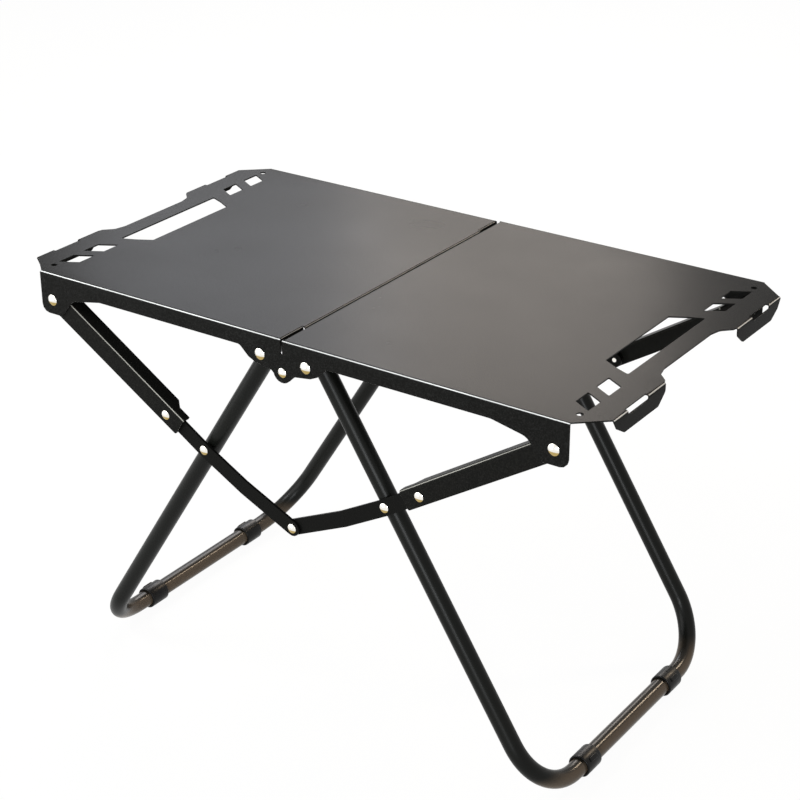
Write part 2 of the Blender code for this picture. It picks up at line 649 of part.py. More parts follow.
def rivets(side, end, bodies, steel):
    """Rivets of one half on one long side, from the outer hinge to the crossing."""
    skirt = SKIRT_FACE[side]
    link_face = LINK_FACE[side]
    rivet(f"brace_rivet_{side}_{end}", side, end, BRACE_HINGE, skirt, BRACE_BACK - skirt,
          BIG_HEAD, BIG_HEAD_HEIGHT, True, "panel_" + side, bodies, steel)
    rivet(f"leg_rivet_{side}_{end}", side, end, LEG_HINGE, skirt,
          TUBE_FACE + 2 * TUBE_RADIUS - skirt, BIG_HEAD, BIG_HEAD_HEIGHT, True,
          "leg_" + side, bodies, steel)
    rivet(f"link_rivet_{side}_{end}", side, end, LINK_PIVOT, BRACE_FACE,
          link_face + LINK_BAR - BRACE_FACE, SMALL_HEAD, LOW_HEAD_HEIGHT, side == "left",
          "brace_" + side, bodies, steel)
    grip = TUBE_FACE - GAP - link_face
    rivet(f"crossing_rivet_{side}_{end}", side, end, CROSSING, link_face, grip,
          SMALL_HEAD, LOW_HEAD_HEIGHT, False, "link_" + side, bodies, steel)
    rivet(f"crossing_tail_{side}_{end}", side, OTHER_END[end], CROSSING,
          2 * HALF_DEPTH - TUBE_FACE - 2 * TUBE_RADIUS, TUBE_WALL, TAIL_RADIUS,
          TAIL_HEIGHT, False, "leg_" + side, bodies, steel)


def small_parts(side, end, bodies, steel, nylon):
    """Washers, spacers, plugs and feet of one half on one long side."""
    link_face = LINK_FACE[side]
    leg_spacer(side, end, bodies, nylon)
    ring(f"link_washer_{side}_{end}", side, end, LINK_PIVOT, BRACE_BACK + GAP, link_face - GAP,
         LINK_WASHER_RADIUS, "brace_" + side, bodies, nylon)
    if side == "left":
        ring(f"crossing_spacer_{side}_{end}", side, end, CROSSING, link_face + LINK_BAR + GAP,
             TUBE_FACE - GAP, WASHER_RADIUS, "link_" + side, bodies, nylon)
    else:
        ring(f"brace_washer_{side}_{end}", side, end, BRACE_HINGE, 0.0, PANEL_SHEET,
             WASHER_RADIUS, "brace_" + side, bodies, nylon)
    tube_plug(side, end, bodies, nylon)
    foot_clip(side, end, bodies, nylon)


def centre_joints(end, bodies, steel):
    """Centre hinge rivet, and the middle joint's rivet and its tail."""
    rivet(f"centre_rivet_{end}", "right", end, CENTRE_HINGE, SKIRT_FACE["right"],
          SKIRT_LAP + PANEL_SHEET, SMALL_HEAD, BIG_HEAD_HEIGHT, True, "panel_left", bodies, steel)
    rivet(f"link_joint_rivet_{end}", "left", end, LINK_JOINT, LINK_FACE["left"], LINK_BAR,
          SMALL_HEAD, LOW_HEAD_HEIGHT, False, "link_left", bodies, steel)
    rivet(f"link_joint_tail_{end}", "right", OTHER_END[end], LINK_JOINT,
          2 * HALF_DEPTH - LINK_FACE["right"] - LINK_BAR, LINK_BAR, TAIL_RADIUS, TAIL_HEIGHT,
          False, "link_right", bodies, steel)


def make_bodies():
    """One empty on the joint axis of each moving body."""
    pivots = {"panel": CENTRE_HINGE, "leg": LEG_HINGE, "brace": BRACE_HINGE, "link": LINK_PIVOT}
    bodies = {}
    for side, sign in SIDES.items():
        for kind, (x, z) in pivots.items():
            empty = bpy.data.objects.new(f"axis_{kind}_{side}", None)
            empty.location = (sign * x, 0.0, TOP_HEIGHT + z)
            bpy.data.collections["camping_table"].objects.link(empty)
            bodies[f"{kind}_{side}"] = empty
    return bodies


def main():
    """Build the table in an empty scene."""
    for old in list(bpy.data.objects):
        bpy.data.objects.remove(old)
    for name in ("camping_table", "cutters"):
        bpy.context.scene.collection.children.link(bpy.data.collections.new(name))
    bodies = make_bodies()
    coated = make_material("powder_coated_sheet", (0.016, 0.016, 0.014), 0.34, 0.0)
    tube_coat = make_material("powder_coated_tube", (0.013, 0.013, 0.013), 0.3, 0.0)
    steel = make_material("yellow_zinc_plated_steel", (0.80, 0.66, 0.36), 0.18, 1.0)
    nylon = make_material("black_nylon", (0.010, 0.010, 0.010), 0.5, 0.0)
    for side in SIDES:
        panel(side, bodies, coated)
        leg(side, bodies, tube_coat)
        for end in ENDS:
            brace(side, end, bodies, coated)
            link(side, end, bodies, coated)
            rivets(side, end, bodies, steel)
            small_parts(side, end, bodies, steel, nylon)
    for end in ENDS:
        centre_joints(end, bodies, steel)


main()
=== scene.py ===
"""Looks of a folding camping table: coated sheet steel and tube, plated rivets and nylon feet."""
import json
import logging
import math
from dataclasses import dataclass, field
from enum import Enum

import bmesh
import bpy
from bpy.types import Material, Mesh, Node, NodeSocket, NodeTree, Object
from mathutils import Matrix, Vector

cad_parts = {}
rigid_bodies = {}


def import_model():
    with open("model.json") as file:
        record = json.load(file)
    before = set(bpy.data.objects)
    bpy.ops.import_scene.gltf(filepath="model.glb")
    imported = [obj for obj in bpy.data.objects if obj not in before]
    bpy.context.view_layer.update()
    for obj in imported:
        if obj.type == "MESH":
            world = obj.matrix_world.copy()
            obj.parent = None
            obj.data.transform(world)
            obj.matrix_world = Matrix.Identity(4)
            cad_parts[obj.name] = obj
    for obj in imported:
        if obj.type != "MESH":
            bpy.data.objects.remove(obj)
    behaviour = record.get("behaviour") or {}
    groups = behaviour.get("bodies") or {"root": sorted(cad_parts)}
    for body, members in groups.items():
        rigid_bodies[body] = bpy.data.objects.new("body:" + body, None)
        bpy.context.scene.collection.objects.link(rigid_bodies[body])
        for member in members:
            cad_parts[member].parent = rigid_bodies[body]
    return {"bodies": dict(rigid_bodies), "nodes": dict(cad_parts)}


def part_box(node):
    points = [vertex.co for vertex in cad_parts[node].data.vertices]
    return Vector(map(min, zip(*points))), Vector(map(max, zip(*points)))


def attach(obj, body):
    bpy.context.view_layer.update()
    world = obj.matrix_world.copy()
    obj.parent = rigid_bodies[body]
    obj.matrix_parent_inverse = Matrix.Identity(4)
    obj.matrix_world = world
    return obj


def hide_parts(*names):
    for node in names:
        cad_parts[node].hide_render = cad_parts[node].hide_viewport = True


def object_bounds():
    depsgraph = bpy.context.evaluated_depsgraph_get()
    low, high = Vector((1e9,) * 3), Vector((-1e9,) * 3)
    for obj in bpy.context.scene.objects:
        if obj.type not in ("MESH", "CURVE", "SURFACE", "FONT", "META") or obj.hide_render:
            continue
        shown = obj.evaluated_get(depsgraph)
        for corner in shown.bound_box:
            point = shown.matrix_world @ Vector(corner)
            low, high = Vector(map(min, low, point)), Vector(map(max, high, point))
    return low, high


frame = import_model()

for stray in set(bpy.data.objects) - set(frame["nodes"].values()) - set(frame["bodies"].values()):
    bpy.data.objects.remove(stray)
CAD_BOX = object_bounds()

log = logging.getLogger("camping_table")
logging.basicConfig(level=logging.INFO, format="%(name)s: %(message)s")

MM = 0.001
# Node types that are used most.
MATH, MIX, RANGE = "ShaderNodeMath", "ShaderNodeMix", "ShaderNodeMapRange"
SPLIT, MERGE = "ShaderNodeSeparateXYZ", "ShaderNodeCombineXYZ"
MOVE, TRANSFORM = "GeometryNodeSetPosition", "GeometryNodeTransform"
ATTRIBUTE, SEATED = "GeometryNodeInputNamedAttribute", "GeometryNodeInstanceOnPoints"
FILLET, SWEEP = "GeometryNodeFilletCurve", "GeometryNodeCurveToMesh"
# Sockets of a Mix node: its two colours and their mix, and its two plain numbers.
COLOUR_A, COLOUR_B, MIXED_COLOUR = 6, 7, 2
NUMBER_A, NUMBER_B = 2, 3
# Part of a noise's range where most of its values lie.
USUAL_SPAN = (0.3, 0.7)


class Side(Enum):
    """Half of the table."""

    LEFT = "left"
    RIGHT = "right"

    @property
    def sign(self) -> float:
        """Direction of this half along X."""
        return 1.0 if self is Side.RIGHT else -1.0


class End(Enum):
    """Long side of the table, as seen from the front."""

    FRONT = "front"
    BACK = "back"

    @property
    def sign(self) -> float:
        """Direction of this long side along Y."""
        return 1.0 if self is End.BACK else -1.0


class Folds(Enum):
    """Which way a sheet's folds run, so that a highlight line can be painted along them."""

    NONE = "none"
    LENGTHWISE = "lengthwise"
    BOTH_WAYS = "both ways"


def srgb(code: str) -> tuple[float, float, float, float]:
    """Linear colour of an sRGB hex code, by the curve of the sRGB standard.

    Args:
        code: six hex digits with a leading hash.

    Returns:
        Linear red, green and blue, and an alpha of 1.
    """
    levels = [int(code[place:place + 2], 16) / 255 for place in (1, 3, 5)]
    linear = [level / 12.92 if level <= 0.04045 else ((level + 0.055) / 1.055) ** 2.4
              for level in levels]
    return (linear[0], linear[1], linear[2], 1.0)


class Nodes:
    """Node tree under construction."""

    def __init__(self, tree: NodeTree) -> None:
        """Start from an empty tree.

        Args:
            tree: tree that takes the nodes.
        """
        self.tree = tree
        tree.nodes.clear()

    def add(self, kind: str, inputs: dict | tuple = (), **settings: str) -> Node:
        """Add a node, set its properties, and fill or link its inputs.

        Args:
            kind: Blender's name of the node type.
            inputs: values of the first inputs in order, or of any by name or number. A socket,
                or the first output of a node, is linked.
            settings: properties of the node, by name.

        Returns:
            The new node.
        """
        node = self.tree.nodes.new(kind)
        for name, value in settings.items():
            setattr(node, name, value)
        for name, value in inputs.items() if isinstance(inputs, dict) else enumerate(inputs):
            if isinstance(value, Node):
                value = value.outputs[0]
            if isinstance(value, NodeSocket):
                self.tree.links.new(value, node.inputs[name])
            else:
                node.inputs[name].default_value = value
        return node


class Surface(Nodes):
    """Node material under construction, with patterns laid by their real sizes."""

    def __init__(self, name: str) -> None:
        """Start the material.

        Args:
            name: name of the material.
        """
        self.material = bpy.data.materials.new(name)
        self.material.use_nodes = True
        super().__init__(self.material.node_tree)
        place = self.add("ShaderNodeTexCoord").outputs
        self.place, self.facing = place["Object"], place["Normal"]

    def mottle(self, size_mm: float, levels: tuple[float, float],
               span: tuple[float, float] = USUAL_SPAN, layers: float = 2.0,
               breakup: float = 0.5) -> Node:
        """Random spots of a real size, as values between two levels.

        Args:
            size_mm: size of the spots in millimetres.
            levels: value at each end of the span.
            span: part of the noise's range that is stretched between the levels.
            layers: number of finer layers in the noise.
            breakup: strength of the finer layers.

        Returns:
            Node that puts out the value.
        """
        noise = self.add("ShaderNodeTexNoise",
                         {"Vector": self.place, "Scale": 1.0 / (size_mm * MM), "Detail": layers,
                          "Roughness": breakup})
        return self.add(RANGE, (noise, *span, *levels))

    def relief(self, size_mm: float, height: float, strength: float) -> Node:
        """Fine unevenness of a real size.

        Args:
            size_mm: size of the bumps in millimetres.
            height: height of the bumps.
            strength: share of the bumps that shows.

        Returns:
            Node that puts out the normal for the shader.
        """
        noise = self.add("ShaderNodeTexNoise",
                         {"Vector": self.place, "Scale": 1.0 / (size_mm * MM)})
        return self.add("ShaderNodeBump",
                        {"Height": noise, "Strength": strength, "Distance": height})

    def finish(self, looks: dict) -> Material:
        """End the tree.

        Args:
            looks: inputs of the shader.

        Returns:
            The material.
        """
        self.add("ShaderNodeOutputMaterial", (self.add("ShaderNodeBsdfPrincipled", looks),))
        return self.material


@dataclass(frozen=True)
class PowderCoat:
    """Polyester powder coat, sprayed dry and baked until it flows together.

    It gives the eye broad, soft reflections with a faint orange peel in them, and no sparkle.
    Folds carry a painted pale highlight line and a smoother coat; near the ground the coat is
    smoother, and its flanks carry a painted warm brown reflection.
    """

    name: str
    colour: str
    fold_highlight_and_grit_colour: str
    roughness: float
    specular: float
    folds: Folds = Folds.NONE
    # Polyester has about 1.5. The photograph's reflections are weaker than that.
    ior: float = 1.2
    # Orange peel is 1 to 3 mm across, drawn at the coarse end so that it shows.
    peel_mm: float = 3.2
    peel_height: float = 0.006 * MM
    peel_strength: float = 0.2
    # Powder grit of about 0.1 mm is too fine to show, so it is drawn coarser.
    grit_mm: float = 0.9
    grit: float = 0.012
    grit_span: tuple[float, float] = (0.45, 0.75)
    # Slow drift of the coat's thickness, about a hand's width across.
    cloud_mm: float = 90.0
    cloud_layers: float = 3.0
    cloud_breakup: float = 0.55
    cloudiness: float = 0.015
    # Share, patchiness and smoothness of the pale line that is painted on the folds as a highlight.
    fold_highlight_share: float = 0.9
    least_fold_highlight: float = 0.7
    fold_highlight_span: tuple[float, float] = (0.3, 0.6)
    fold_roughness: float = 0.2
    fold_edge: tuple[float, float] = (0.42, 0.62)
    cross_folds_above: float = 442.0 * MM
    long_folds_beyond: float = 190.0 * MM
    tabs_beyond: float = 340.0 * MM
    seam_within: float = 12.0 * MM
    seam_highlight_share: float = 0.78
    # Warm brown that is painted on the flanks near the ground as a reflection, where the coat is
    # also smoother.
    scuff_and_reflection_colour: str | None = None
    scuffed_roughness: float = 0.2
    near_ground_heights: tuple[float, float] = (18.0 * MM, 36.0 * MM)
    reflection_slopes: tuple[float, float] = (0.72, 0.92)
    reflection_on_top: float = 0.15

    def panel_folds(self, surface: Surface, turned: list[Node]) -> Node:
        """Mask of a panel's painted fold highlight: over the skirts, at the tabs and, fainter, at
        the seam.

        Args:
            surface: the material under construction.
            turned: how far the surface faces along each axis.

        Returns:
            Node that puts out the mask.
        """
        where = surface.add(SPLIT, (surface.place,)).outputs
        reach = [surface.add(MATH, (where[axis],), operation="ABSOLUTE") for axis in range(2)]
        long_side, tab, raised, seam = (
            surface.add(MATH, limits, operation=test)
            for test, limits in (("GREATER_THAN", (reach[1], self.long_folds_beyond)),
                                 ("GREATER_THAN", (reach[0], self.tabs_beyond)),
                                 ("GREATER_THAN", (where[2], self.cross_folds_above)),
                                 ("LESS_THAN", (reach[0], self.seam_within))))
        cross = surface.add(MATH, (seam, self.seam_highlight_share, tab), operation="MULTIPLY_ADD")
        short_side = surface.add(MATH, (cross, raised), operation="MULTIPLY")
        masks = []
        for axis, wanted in ((1, long_side), (0, short_side)):
            fold = surface.add(MATH, (turned[axis], turned[2]), operation="MINIMUM")
            masks.append(surface.add(MATH, (fold, wanted), operation="MULTIPLY"))
        return surface.add(MATH, tuple(masks), operation="MAXIMUM")

    def fold_mask(self, surface: Surface) -> Node:
        """Mask that is 1 in the middle of a fold and 0 on the flats.

        Args:
            surface: the material under construction.

        Returns:
            Node that puts out the mask.
        """
        turned = [surface.add(MATH, (axis,), operation="ABSOLUTE")
                  for axis in surface.add(SPLIT, (surface.facing,)).outputs]
        if self.folds is Folds.LENGTHWISE:
            square = surface.add(MATH, (turned[1], 2.0), operation="POWER")
            rest = surface.add(MATH, (1.0, square), operation="SUBTRACT")
            across = surface.add(MATH, (rest,), operation="SQRT")
            mask = surface.add(MATH, (turned[1], across), operation="MINIMUM")
        else:
            mask = self.panel_folds(surface, turned)
        return surface.add(RANGE, (mask, *self.fold_edge), interpolation_type="SMOOTHSTEP")

    def painted_ground_reflection(self, surface: Surface, colour: NodeSocket,
                rough: Node) -> tuple[NodeSocket, Node]:
        """Colour and roughness near the ground: a smoother coat, with a painted warm brown
        reflection on its flanks.

        Args:
            surface: the material under construction.
            colour: colour of the coat away from the ground.
            rough: roughness of the coat away from the ground.

        Returns:
            The new colour and roughness.
        """
        # The brown on the flanks is a painted warm reflection; the smoother coat is roughness only.
        low, flank = (
            surface.add(RANGE, (surface.add(SPLIT, (vector,)).outputs[2], *span, 1.0, least),
                        interpolation_type="SMOOTHSTEP")
            for vector, span, least in ((surface.place, self.near_ground_heights, 0.0),
                                        (surface.facing, self.reflection_slopes, self.reflection_on_top)))
        amount = surface.add(MATH, (low, flank), operation="MULTIPLY")
        warm_reflection = surface.add(MIX, {"Factor": amount, COLOUR_A: colour,
                                    COLOUR_B: srgb(self.scuff_and_reflection_colour)}, data_type="RGBA")
        polished = surface.add(MIX, {"Factor": low, NUMBER_A: rough,
                                     NUMBER_B: self.scuffed_roughness}, data_type="FLOAT")
        return warm_reflection.outputs[MIXED_COLOUR], polished

    def painted_fold_highlight(self, surface: Surface, colour: NodeSocket,
               rough: Node) -> tuple[NodeSocket, Node]:
        """Colour and roughness of the folds: a painted pale highlight line, patchy along them, and
        a smoother coat.

        Args:
            surface: the material under construction.
            colour: colour of the coat off the folds.
            rough: roughness of the coat off the folds.

        Returns:
            The new colour and roughness.
        """
        patchy = surface.mottle(self.cloud_mm, (self.least_fold_highlight * self.fold_highlight_share, self.fold_highlight_share),
                                self.fold_highlight_span, self.cloud_layers, self.cloud_breakup)
        # The pale fold colour is a painted highlight line.
        amount = surface.add(MATH, (self.fold_mask(surface), patchy), operation="MULTIPLY")
        paler = surface.add(MIX, {"Factor": amount, COLOUR_A: colour,
                                  COLOUR_B: srgb(self.fold_highlight_and_grit_colour)}, data_type="RGBA")
        smoother = surface.add(MIX, {"Factor": amount, NUMBER_A: rough,
                                     NUMBER_B: self.fold_roughness}, data_type="FLOAT")
        return paler.outputs[MIXED_COLOUR], smoother

    def material(self) -> Material:
        """Node material of the coat.

        Returns:
            The material.
        """
        surface = Surface(self.name)
        specks = surface.mottle(self.grit_mm, (0.0, self.grit), self.grit_span, layers=1.0)
        gritty = surface.add(MIX, {"Factor": specks, COLOUR_A: srgb(self.colour),
                                   COLOUR_B: srgb(self.fold_highlight_and_grit_colour)}, data_type="RGBA")
        colour = gritty.outputs[MIXED_COLOUR]
        rough = surface.mottle(self.cloud_mm, (self.roughness - self.cloudiness,
                                               self.roughness + self.cloudiness),
                               layers=self.cloud_layers, breakup=self.cloud_breakup)
        # Painted warm reflection on the flanks near the ground.
        if self.scuff_and_reflection_colour:
            colour, rough = self.painted_ground_reflection(surface, colour, rough)
        # Painted highlight lines on the folds.
        if self.folds is not Folds.NONE:
            colour, rough = self.painted_fold_highlight(surface, colour, rough)
        peel = surface.relief(self.peel_mm, self.peel_height, self.peel_strength)
        return surface.finish({"Base Color": colour, "Roughness": rough, "IOR": self.ior,
                               "Specular IOR Level": self.specular, "Normal": peel})


@dataclass(frozen=True)
class YellowZincPlate:
    """Zinc plate with a yellow passivation on cold-formed steel.

    It gives the eye bright, sharp metal on top of a head, and a painted warm gold reflection on its
    lower rim.
    """

    name: str
    bright: str
    gold_stain_and_reflection: str
    roughness: float
    # Heads that face further down than this turn gold: a painted warm reflection.
    reflection_below: tuple[float, float] = (-0.21, -0.08)
    # Uneven passivation, a third of a head across.
    tint_mm: float = 3.5
    tint_share: float = 0.12
    tint_span: tuple[float, float] = (0.35, 0.65)
    # Pits of about 0.1 mm are too fine to show, so they are drawn coarser.
    pit_mm: float = 0.6
    smoother: float = 0.02
    rougher: float = 0.03

    def material(self) -> Material:
        """Node material of the plating.

        Returns:
            The material.
        """
        surface = Surface(self.name)
        stained = surface.mottle(self.tint_mm, (0.0, self.tint_share), self.tint_span)
        # Painted warm reflection: heads turn gold on their lower side and stay bright above.
        lean = surface.add(SPLIT, (surface.facing,)).outputs[2]
        rim = surface.add(RANGE, (lean, *self.reflection_below, 1.0, 0.0),
                          interpolation_type="SMOOTHSTEP")
        blend = surface.add(MATH, (rim, stained), operation="MAXIMUM")
        colour = surface.add(MIX, {"Factor": blend, COLOUR_A: srgb(self.bright),
                                   COLOUR_B: srgb(self.gold_stain_and_reflection)}, data_type="RGBA")
        rough = surface.mottle(self.pit_mm,
                               (self.roughness - self.smoother, self.roughness + self.rougher))
        return surface.finish({"Base Color": colour.outputs[MIXED_COLOUR], "Metallic": 1.0,
                               "Roughness": rough})


@dataclass(frozen=True)
class MouldedNylon:
    """Injection-moulded nylon with the spark-eroded grain of its mould.

    It gives the eye a dull, even black that scatters highlights, greyed where it is scuffed.
    """

    name: str
    colour: str
    scuff_and_reflection_colour: str
    roughness: float
    specular: float
    ior: float = 1.53
    # Spark-eroded grain of about 0.1 mm is too fine to show, so it is drawn coarser.
    grain_mm: float = 0.7
    grain_height: float = 0.03 * MM
    grain_strength: float = 0.4
    # Scuffs as long as a stone or a buckle leaves them.
    scuff_mm: float = 9.0
    scuff_share: float = 0.35
    scuff_span: tuple[float, float] = (0.5, 0.8)
    scuff_layers: float = 4.0
    scuff_breakup: float = 0.7
    smoother: float = 0.06
    rougher: float = 0.08

    def material(self) -> Material:
        """Node material of the plastic.

        Returns:
            The material.
        """
        surface = Surface(self.name)
        worn = surface.mottle(self.scuff_mm, (0.0, self.scuff_share), self.scuff_span,
                              self.scuff_layers, self.scuff_breakup)
        colour = surface.add(MIX, {"Factor": worn, COLOUR_A: srgb(self.colour),
                                   COLOUR_B: srgb(self.scuff_and_reflection_colour)}, data_type="RGBA")
        rough = surface.mottle(self.scuff_mm,
                               (self.roughness - self.smoother, self.roughness + self.rougher),
                               layers=self.scuff_layers, breakup=self.scuff_breakup)
        grain = surface.relief(self.grain_mm, self.grain_height, self.grain_strength)
        return surface.finish({"Base Color": colour.outputs[MIXED_COLOUR], "Roughness": rough,
                               "IOR": self.ior, "Specular IOR Level": self.specular,
                               "Normal": grain})


@dataclass
class Finishes:
    """The table's finishes, each made once."""

    sheet: Material
    brace: Material
    link: Material
    tube: Material
    rivet: Material
    nylon: Material


def make_finishes() -> Finishes:
    """Make every finish of the table.

    Returns:
        The finishes.
    """
    return Finishes(
        # Coated flat sheet: an even satin grey under the sky, with painted pale highlight lines on
        # its folds.
        sheet=PowderCoat("satin_powder_coat_on_panels", "#111110", "#f0f1ef", 0.26, 0.10,
                         Folds.BOTH_WAYS).material(),
        # The same coat on the braces: a little duller, with a fainter painted highlight line on
        # their one fold.
        brace=PowderCoat("satin_powder_coat_on_braces", "#111110", "#d2d0c6", 0.30, 0.10,
                         Folds.LENGTHWISE, fold_highlight_share=0.6, fold_edge=(0.5, 0.68)).material(),
        # The same coat on the flat links, which have no fold to carry a painted highlight line.
        link=PowderCoat("satin_powder_coat_on_links", "#111110", "#3a3935", 0.30,
                        0.10).material(),
        # The same coat on drawn tube: smoother and glossier, with a long soft highlight, and a
        # painted warm brown reflection on the flanks of the ground bars.
        tube=PowderCoat("satin_powder_coat_on_tube", "#0e0f0d", "#3a3935", 0.33, 0.36, ior=1.25,
                        peel_strength=0.015, scuff_and_reflection_colour="#51473c").material(),
        # Plated rivets: bright metal, with a painted warm gold reflection on the lower side of each
        # head.
        rivet=YellowZincPlate("yellow_zinc_plated_steel", "#f8f6f0", "#b8a062", 0.14).material(),
        nylon=MouldedNylon("moulded_black_nylon", "#0d0d0d", "#2a2926", 0.34, 0.12).material())


class ShapeTree(Nodes):
    """Geometry node tree with named sizes, ending in Realize Instances and Set Material."""

    def __init__(self, name: str, *sizes: str) -> None:
        """Start the tree.

        Args:
            name: name of the tree.
            sizes: name of each size that it takes.
        """
        super().__init__(bpy.data.node_groups.new(name, "GeometryNodeTree"))
        sockets = [("Seats", "INPUT", "NodeSocketGeometry"),
                   ("Shape", "OUTPUT", "NodeSocketGeometry"),
                   *((size, "INPUT", "NodeSocketFloat") for size in sizes),
                   ("Finish", "INPUT", "NodeSocketMaterial")]
        for label, way, kind in sockets:
            self.tree.interface.new_socket(label, in_out=way, socket_type=kind)
        self.inputs = self.add("NodeGroupInput").outputs

    def join(self, parts: list[Node]) -> Node:
        """Join parts into one shape.

        Args:
            parts: nodes that put out the parts.

        Returns:
            Node that puts out the shape.
        """
        whole = self.add("GeometryNodeJoinGeometry")
        for part in parts:
            self.tree.links.new(part.outputs[0], whole.inputs[0])
        return whole

    def hoop(self, kind: str, path: dict, steps: int) -> Node:
        """Wall round the Z axis by the sizes Bore, Outside, Height and Edge Round.

        Args:
            kind: node type of the wall's path, a circle or an arc.
            path: inputs of the path apart from its radius.
            steps: points in each rounded edge.

        Returns:
            Node that puts out the wall.
        """
        bore, outside = self.inputs["Bore"], self.inputs["Outside"]
        both = self.add(MATH, (bore, outside), operation="ADD")
        middle = self.add(MATH, (both, 0.5), operation="MULTIPLY")
        width = self.add(MATH, (outside, bore), operation="SUBTRACT")
        line = self.add(kind, {**path, "Radius": middle})
        upright = self.add("GeometryNodeSetCurveNormal", {"Curve": line}, mode="Z_UP")
        strip = self.add("GeometryNodeCurvePrimitiveQuadrilateral",
                         {"Width": width, "Height": self.inputs["Height"]})
        section = self.add(FILLET, {"Curve": strip, "Count": steps,
                                    "Radius": self.inputs["Edge Round"]}, mode="POLY")
        return self.add(SWEEP, {"Curve": upright, "Profile Curve": section, "Fill Caps": True})

    def close(self, shape: Node) -> None:
        """End the tree: realize its instances, set its material and put it out.

        Args:
            shape: node that puts out the finished geometry.
        """
        real = self.add("GeometryNodeRealizeInstances", {"Geometry": shape})
        dressed = self.add("GeometryNodeSetMaterial",
                           {"Geometry": real, "Material": self.inputs["Finish"]})
        self.add("NodeGroupOutput", (dressed,))

    def grow(self, name: str, seats: Mesh, sizes: dict[str, float], finish: Material,
             sharp_degrees: float = 40.0) -> Object:
        """Run the tree on its seats and keep the result as one plain mesh.

        Args:
            name: name of the piece.
            seats: mesh whose points or edges the tree works on.
            sizes: value of each named size.
            finish: material of the piece.
            sharp_degrees: edges that turn more than this stay sharp.

        Returns:
            The piece, at the origin, with no modifier.
        """
        piece = bpy.data.objects.new(name, seats)
        bpy.context.scene.collection.objects.link(piece)
        modifier = piece.modifiers.new("shape", "NODES")
        modifier.node_group = self.tree
        values = {**sizes, "Finish": finish}
        for socket in self.tree.interface.items_tree:
            if socket.in_out == "INPUT" and socket.name in values:
                modifier[socket.identifier] = values[socket.name]
        depsgraph = bpy.context.evaluated_depsgraph_get()
        shape = bpy.data.meshes.new_from_object(piece.evaluated_get(depsgraph))
        piece.modifiers.remove(modifier)
        piece.data = shape
        shape.shade_smooth()
        shape.set_sharp_from_angle(angle=math.radians(sharp_degrees))
        return piece


def centre_of(node: str) -> Vector:
    """Middle of a CAD node's box at rest."""
    low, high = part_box(node)
    return (low + high) / 2


def settle(piece: Object, body: str, nodes: list[str]) -> None:
    """Put a finished piece on its body, in place of the CAD nodes that it stands for.

    Args:
        piece: the finished piece.
        body: CAD body that carries it.
        nodes: CAD nodes that it replaces.
    """
    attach(piece, body)
    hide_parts(*nodes)
    log.info("%s: %d faces on %s, for %s", piece.name, len(piece.data.polygons), body,
             ", ".join(nodes))


@dataclass
class SheetMetal:
    """The folded panels and braces and the flat links, with edges broken as tumbling does."""

    finishes: Finishes
    edge_round: float = 0.25 * MM
    edge_steps: int = 2
    weld: float = 0.005 * MM
    flat_degrees: float = 0.4
    edge_degrees: float = 35.0
    flat_weight: int = 100
    most_corners: int = 4
    notch_length: float = 38.0 * MM
    notch_relief: float = 0.8 * MM
    lip_reach: tuple[float, float] = (3.1 * MM, 5.6 * MM)

    def close_notch(self, shape: bmesh.types.BMesh, half_depth: float) -> None:
        """Bring the start of a notch's lip up to the fold beside it, so that no light shows.

        Args:
            shape: the panel's merged mesh.
            half_depth: distance of the panel's skirts from the middle.
        """
        near, far = self.lip_reach
        start = half_depth - self.notch_length + self.notch_relief
        for vert in shape.verts:
            off = abs(abs(vert.co.y) - start)
            if near < abs(vert.co.x) < far and off < self.notch_relief / 2:
                vert.co.y -= math.copysign(self.notch_relief, vert.co.y)

    def piece(self, node: str, body: str, finish: Material, slot: str) -> None:
        """Finish a merged copy of a CAD node and put it on its body.

        Args:
            node: CAD node that gives the shape.
            body: CAD body that carries it.
            finish: material of the piece.
            slot: material slot in the record; not used.
        """
        mesh = frame["nodes"][node].data.copy()
        mesh.name = "finished_" + node
        shape = bmesh.new()
        shape.from_mesh(mesh)
        bmesh.ops.remove_doubles(shape, verts=shape.verts, dist=self.weld)
        if node == "panel_left":
            self.close_notch(shape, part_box(node)[1].y)
        bmesh.ops.dissolve_limit(shape, angle_limit=math.radians(self.flat_degrees),
                                 verts=shape.verts, edges=shape.edges)
        bmesh.ops.triangulate(shape, faces=[face for face in shape.faces
                                            if len(face.verts) > self.most_corners])
        shape.to_mesh(mesh)
        shape.free()
        mesh.materials.clear()
        mesh.materials.append(finish)
        mesh.shade_smooth()
        mesh.set_sharp_from_angle(angle=math.radians(self.edge_degrees))
        piece = bpy.data.objects.new("finished_" + node, mesh)
        bpy.context.scene.collection.objects.link(piece)
        bevel = piece.modifiers.new("broken_edges", "BEVEL")
        bevel.width = self.edge_round
        bevel.segments = self.edge_steps
        bevel.limit_method = "ANGLE"
        bevel.angle_limit = math.radians(self.edge_degrees)
        bevel.use_clamp_overlap = True
        # Keeps the shading of the narrow folds from spreading over the flats beside them.
        level = piece.modifiers.new("level_flats", "WEIGHTED_NORMAL")
        level.keep_sharp = True
        level.weight = self.flat_weight
        settle(piece, body, [node])

    def build(self) -> None:
        """Finish every panel, brace, link and leg spacer."""
        finishes = self.finishes
        for side in Side:
            half = side.value
            self.piece(f"panel_{half}", f"panel_{half}", finishes.sheet, "panel_coat")
            for end in End:
                tag = f"{half}_{end.value}"
                self.piece(f"brace_{tag}", f"brace_{half}", finishes.brace, "panel_coat")
                self.piece(f"link_{tag}", f"link_{half}", finishes.link, "panel_coat")
                self.piece(f"leg_spacer_{tag}", f"leg_{half}", finishes.nylon, "black_nylon")


